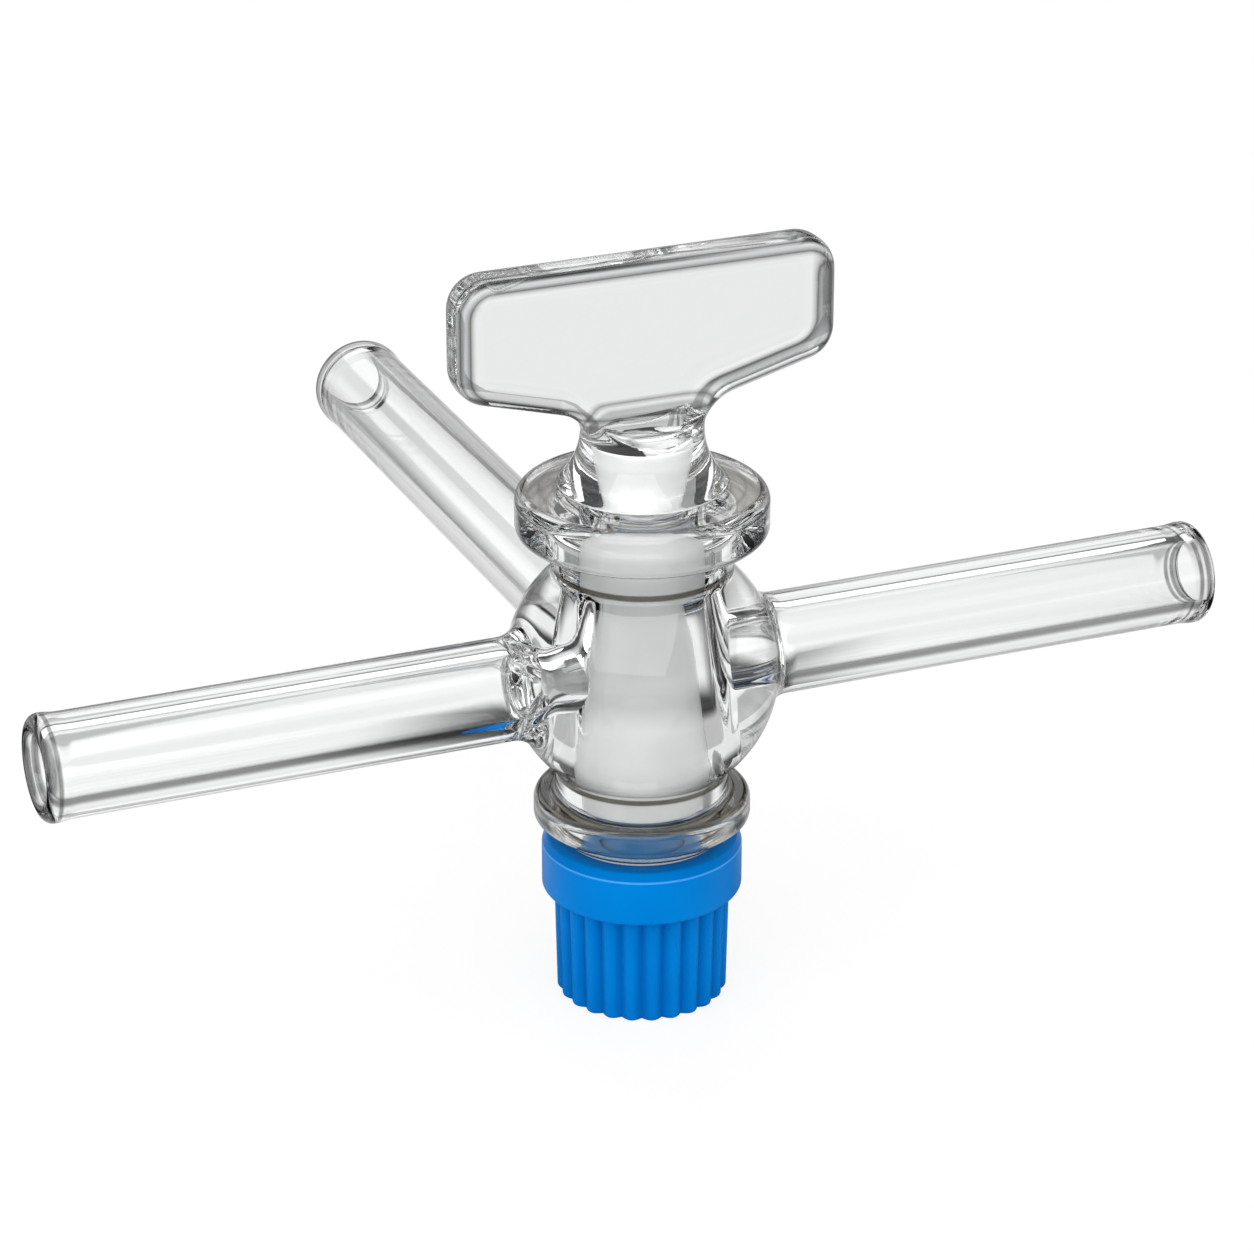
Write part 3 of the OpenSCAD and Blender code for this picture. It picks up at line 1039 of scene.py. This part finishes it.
@dataclass
class Handle:
    """The pressed-glass T-handle: a slab with rounded edges over a flared stem."""

    levels: Levels
    finish: Finish
    width: float = 38.0
    thick: float = 6.2
    edge: float = 2.5
    corner: float = 3.4
    wing_h: float = 11.6
    wing_slope: float = 15.0
    wing_fillet: float = 4.0
    stem_r: float = 5.85
    flare_r: float = 7.4
    flare_h: float = 5.8
    stem_h: float = 1.9
    saddle_ratio: float = 1.54
    saddle_drop: float = 0.25
    saddle_reach: float = 12.0
    foot_edge: float = 0.35
    tongue_end: float = 3.6
    tongue_in: float = 0.25
    socket_r: float = 5.05
    socket_h: float = 4.8
    air: float = 0.02
    grid: float = 0.17
    smoothings: int = 24
    smoothing: float = 0.5
    saddle_sides: int = 96
    flare_steps: int = 20
    corner_steps: int = 14
    edge_steps: int = 10
    foot_steps: int = 4

    def outline(self) -> list[Point]:
        """The slab's outline, from the stem's end round the right wing to the left one.

        Returns:
            The points, heights over the resting surface.
        """
        slope = math.radians(self.wing_slope)
        crook = self.levels.stem + self.stem_h
        tongue = self.stem_r - self.tongue_in
        wing_x = self.width / 2 - self.corner

        def edge_z(x: float) -> float:
            """Height of the wing's lower edge."""
            return crook + math.tan(slope) * (x - tongue)

        top = edge_z(self.width / 2) + self.wing_h
        crook_x = tongue + self.wing_fillet
        half = [(tongue, self.levels.stem - self.tongue_end),
                *arc(crook_x, edge_z(crook_x) - self.wing_fillet / math.cos(slope), self.wing_fillet,
                     180.0, 90.0 + self.wing_slope, self.corner_steps),
                *arc(wing_x, edge_z(wing_x) + self.corner / math.cos(slope), self.corner,
                     self.wing_slope - 90.0, 0.0, self.corner_steps),
                *arc(wing_x, top - self.corner, self.corner, 0.0, 90.0, self.corner_steps)]
        return half + [(-x, z) for x, z in reversed(half)]

    def slab(self) -> Piece:
        """The slab, drawn as its outline, thickened, and stepped in round its faces.

        Returns:
            The slab.
        """
        waist = self.thick / 2 - self.edge
        chain = [Vector((x * MM, waist * MM, z * MM)) for x, z in self.outline()]
        slab = draw_chain("slab", chain)
        bpy.ops.mesh.edge_face_add()
        bpy.ops.mesh.extrude_region_move(TRANSFORM_OT_translate={"value": (0.0, -2 * waist * MM, 0.0)})
        bpy.ops.mesh.select_all(action="SELECT")
        bpy.ops.mesh.normals_make_consistent(inside=False)
        bpy.ops.mesh.select_mode(type="FACE")
        steps = [(self.edge - x, z) for x, z in arc(0.0, 0.0, self.edge, 0.0, 90.0, self.edge_steps)]
        for side in (-1.0, 1.0):
            mesh = bmesh.from_edit_mesh(slab.data)
            for face in mesh.faces:
                face.select = face.normal.y * side > NEARLY
            bmesh.update_edit_mesh(slab.data)
            for (inset, rise), (more_inset, more_rise) in zip(steps, steps[1:]):
                bpy.ops.mesh.inset(thickness=(more_inset - inset) * MM, depth=(more_rise - rise) * MM,
                                   use_even_offset=True)
        nothing_selected()
        return slab

    def stem(self) -> Piece:
        """The stem with its flared foot and the saddle in front of and behind the slab.

        Returns:
            The stem.
        """
        foot, narrow, e = self.levels.shoulder + self.air, self.levels.stem, self.foot_edge
        centre_x = self.stem_r + self.flare_r
        sweep = math.degrees(math.asin((self.flare_h - e) / self.flare_r))
        flare = arc(centre_x, narrow, self.flare_r, 180.0 + sweep, 180.0, self.flare_steps)
        foot_r = flare[0][0]
        saddle_r = self.saddle_ratio * self.stem_r
        top = narrow + saddle_r
        profile = [(0.0, foot), (foot_r - e, foot), *arc(foot_r - e, foot + e, e, -90.0, 0.0, self.foot_steps),
                   *flare[1:], (self.stem_r, top), (0.0, top)]
        stem = turned("stem", profile, Axis.UP, Vector())
        height = self.levels.at(narrow - self.saddle_drop + saddle_r)
        reach = Axis.BACK.along() * self.saddle_reach * MM
        drill(stem, saddle_r, (height - reach, height + reach), self.saddle_sides)
        return stem

    def build(self) -> None:
        """Builds the handle and hands it over."""
        handle = self.stem()
        combine(handle, self.slab(), "UNION")
        handle.data.remesh_voxel_size = self.grid * MM
        handle.data.remesh_voxel_adaptivity = 0.0
        make_active(handle)
        bpy.ops.object.voxel_remesh()
        apply_modifier(handle, "SMOOTH", factor=self.smoothing, iterations=self.smoothings)
        low, high = self.levels.shoulder - PAST, self.levels.shoulder + self.socket_h + self.air
        drill(handle, self.socket_r, (self.levels.at(low), self.levels.at(high)))
        finish_piece(handle, "glass_handle", self.finish, "key", "handle")


@dataclass
class Nut:
    """The blue nut: a smooth bevelled collar over a ribbed grip."""

    levels: Levels
    finish: Finish
    height: float = 16.8
    collar_r: float = 9.75
    collar_h: float = 5.5
    collar_edge: float = 0.4
    bevel: float = 0.5
    bevel_h: float = 0.9
    grip_r: float = 8.6
    draft: float = 0.25
    ribs: int = 24
    groove: float = 0.6
    floor: float = 2.2
    thread_r: float = 4.1
    recess_r: float = 7.7
    recess_low: float = 14.1
    foot_round: float = 0.6
    phases: int = 10
    rib_power: float = 0.55
    overlap: float = 0.5
    round_end: float = 0.10
    flat_start: float = 0.22
    sharp: float = 35.0
    hole_sides: int = 96
    edge_steps: int = 6

    def rib_r(self, phase: int) -> float:
        """Radius of the grip at a place within one rib's pitch."""
        crown = (0.5 + 0.5 * math.cos(2 * math.pi * phase / self.phases)) ** self.rib_power
        return self.grip_r - self.groove * (1 - crown)

    def grip(self) -> Piece:
        """The ribbed grip, drawn as its top outline and extruded down in steps.

        Returns:
            The grip.
        """
        top = self.height - self.collar_h + self.overlap
        sides = self.ribs * self.phases
        outline = [(self.rib_r(i % self.phases), 2 * math.pi * i / sides) for i in range(sides)]
        points = [Vector((r * math.cos(a), r * math.sin(a), top)) * MM for r, a in outline]
        grip = draw_chain("grip", points)
        bpy.ops.mesh.edge_face_add()
        low_r = self.grip_r - self.draft
        rounding = arc(low_r - self.foot_round, self.foot_round, self.foot_round, 0.0, -90.0, self.edge_steps)
        height, r = top, self.grip_r
        for next_r, next_height in rounding:
            bpy.ops.mesh.extrude_region_move(
                TRANSFORM_OT_translate={"value": (0.0, 0.0, (next_height - height) * MM)})
            bpy.ops.transform.resize(value=(next_r / r, next_r / r, 1.0))
            height, r = next_height, next_r
        close_up()
        return grip

    def collar(self) -> Piece:
        """The collar's outside as a solid.

        Returns:
            The collar.
        """
        low, e = self.height - self.collar_h, self.collar_edge
        wall = Vector((self.collar_r, low + e))
        corner = Vector((self.collar_r, self.height - self.bevel_h))
        rim = Vector((self.collar_r - self.bevel, self.height))
        profile = [(0.0, low), *arc(self.collar_r - e, low + e, e, -90.0, 0.0, self.edge_steps),
                   (self.collar_r, low + e + self.flat_start)]
        for before, here, after in ((wall, corner, rim), (corner, rim, Vector((0.0, self.height)))):
            back, on = (before - here).normalized(), (after - here).normalized()
            profile += [tuple(here + back * self.flat_start), tuple(here + back * self.round_end),
                        tuple(here + on * self.round_end), tuple(here + on * self.flat_start)]
        return turned("collar", [*profile, (0.0, self.height)], Axis.UP, Vector())

    def build(self) -> None:
        """Builds the nut and hands it over."""
        nut = self.grip()
        combine(nut, self.collar(), "UNION")
        top = self.levels.at(self.height + PAST)
        drill(nut, self.thread_r, (self.levels.at(self.floor), top), self.hole_sides)
        drill(nut, self.recess_r, (self.levels.at(self.recess_low), top), self.hole_sides)
        finish_piece(nut, "blue_nut", self.finish, "nut", "nut", self.sharp)


# ---- stage


@dataclass(frozen=True)
class Lamp:
    """A square soft lamp, in metres and watts."""

    name: str
    place: tuple[float, float, float]
    size: float
    watts: float

    def add(self, target: Vector) -> None:
        """Adds the lamp to the scene.

        Args:
            target: the point that it faces.
        """
        nothing_selected()
        bpy.ops.object.light_add(type="AREA", location=self.place)
        lamp = bpy.context.object
        lamp.name = self.name
        lamp.data.size = self.size
        lamp.data.energy = self.watts
        lamp.rotation_euler = (Vector(self.place) - target).to_track_quat("Z", "Y").to_euler()


@dataclass
class Studio:
    """Pale floor, white surround, soft lamps and the camera."""

    levels: Levels
    azimuth: float = -22.5
    elevation: float = 24.05
    distance: float = 0.4334
    lens: float = 129.95
    sensor: float = 36.0
    clip_end: float = 20.0
    aim_right: float = -1.44
    aim_up: float = 3.67
    floor_size: float = 8.0
    sky: Stops = (*greys((0.0, 0.02), (0.46, 0.02), (0.50, 0.9), (0.58, 0.9)),
                  (0.64, (0.07, 0.07, 0.072)), (0.80, (0.07, 0.07, 0.075)), *greys((0.88, 0.9), (1.0, 1.0)))
    sky_strength: float = 0.9
    clear_bounces: int = 32
    gloss_bounces: int = 12
    lamps: tuple[Lamp, ...] = (
        Lamp("key_lamp", (-0.4, -0.6, 0.9), 1.5, 14.0),
        Lamp("fill_lamp", (0.65, -0.25, 0.45), 0.7, 0.4),
        Lamp("back_lamp", (0.15, 0.75, 0.7), 0.8, 2.5))

    def place_camera(self) -> None:
        """Adds the camera, aimed a little off the globe's centre."""
        turn, tilt = math.radians(self.azimuth), math.radians(self.elevation)
        back = Vector((math.sin(turn) * math.cos(tilt), -math.cos(turn) * math.cos(tilt), math.sin(tilt)))
        right = Vector((math.cos(turn), math.sin(turn), 0.0))
        target = self.levels.at(self.levels.arms) + (self.aim_right * right + self.aim_up * back.cross(right)) * MM
        nothing_selected()
        bpy.ops.object.camera_add(location=target + back * self.distance,
                                  rotation=back.to_track_quat("Z", "Y").to_euler())
        camera = bpy.context.object
        camera.data.lens = self.lens
        camera.data.sensor_width = self.sensor
        camera.data.clip_end = self.clip_end
        bpy.context.scene.camera = camera

    def add_floor(self) -> None:
        """Adds the pale floor, which keeps a faint shadow."""
        nothing_selected()
        bpy.ops.mesh.primitive_plane_add(size=self.floor_size)
        floor = bpy.context.object
        floor.name = "floor"
        dress(floor, FloorPaper(azimuth=self.azimuth))

    def light_world(self) -> None:
        """Makes the world white where the camera looks and softly banded where the glass looks."""
        world = bpy.data.worlds.new("studio")
        bpy.context.scene.world = world
        net = Network(world)
        height = net.parts(net.node("TexCoord")[0])[2]
        bands = net.ramp(height * 0.5 + 0.5, self.sky)
        studio = net.node("Background", {"Color": bands, "Strength": self.sky_strength})[0]
        white = net.node("Background", {"Color": (*WHITE, 1.0), "Strength": 1.0})[0]
        camera_ray = net.node("LightPath")[0]
        mixed = net.node("MixShader", {0: camera_ray, 1: studio, 2: white})[0]
        net.node("OutputWorld", {"Surface": mixed})

    def build(self) -> None:
        """Builds the whole stage."""
        scene = bpy.context.scene
        scene.view_settings.view_transform = "Standard"
        scene.cycles.max_bounces = self.clear_bounces
        scene.cycles.transmission_bounces = self.clear_bounces
        scene.cycles.glossy_bounces = self.gloss_bounces
        self.place_camera()
        self.add_floor()
        self.light_world()
        for lamp in self.lamps:
            lamp.add(self.levels.at(self.levels.arms))
        LOG.info("stage: %d lamps", len(self.lamps))


def dress_seals() -> None:
    """Gives the washer and the O-ring, which keep their CAD form, their finishes."""
    for node, finish in (("washer", WhiteFluoropolymer(name="white_washer")), ("o_ring", BlackElastomer())):
        dress(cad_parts[node], finish)
        LOG.info("%s dressed", node)


def main() -> None:
    """Builds the stopcock and its stage."""
    logging.basicConfig(level=logging.INFO, format="%(name)s: %(message)s")
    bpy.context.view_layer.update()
    levels = Levels()
    for piece in (Barrel(levels, ClearGlass()), Plug(levels, WhiteFluoropolymer()),
                  Handle(levels, PressedGlass()), Nut(levels, BluePlastic())):
        piece.build()
    dress_seals()
    Studio(levels).build()
    nothing_selected()


if __name__ == "__main__":
    main()
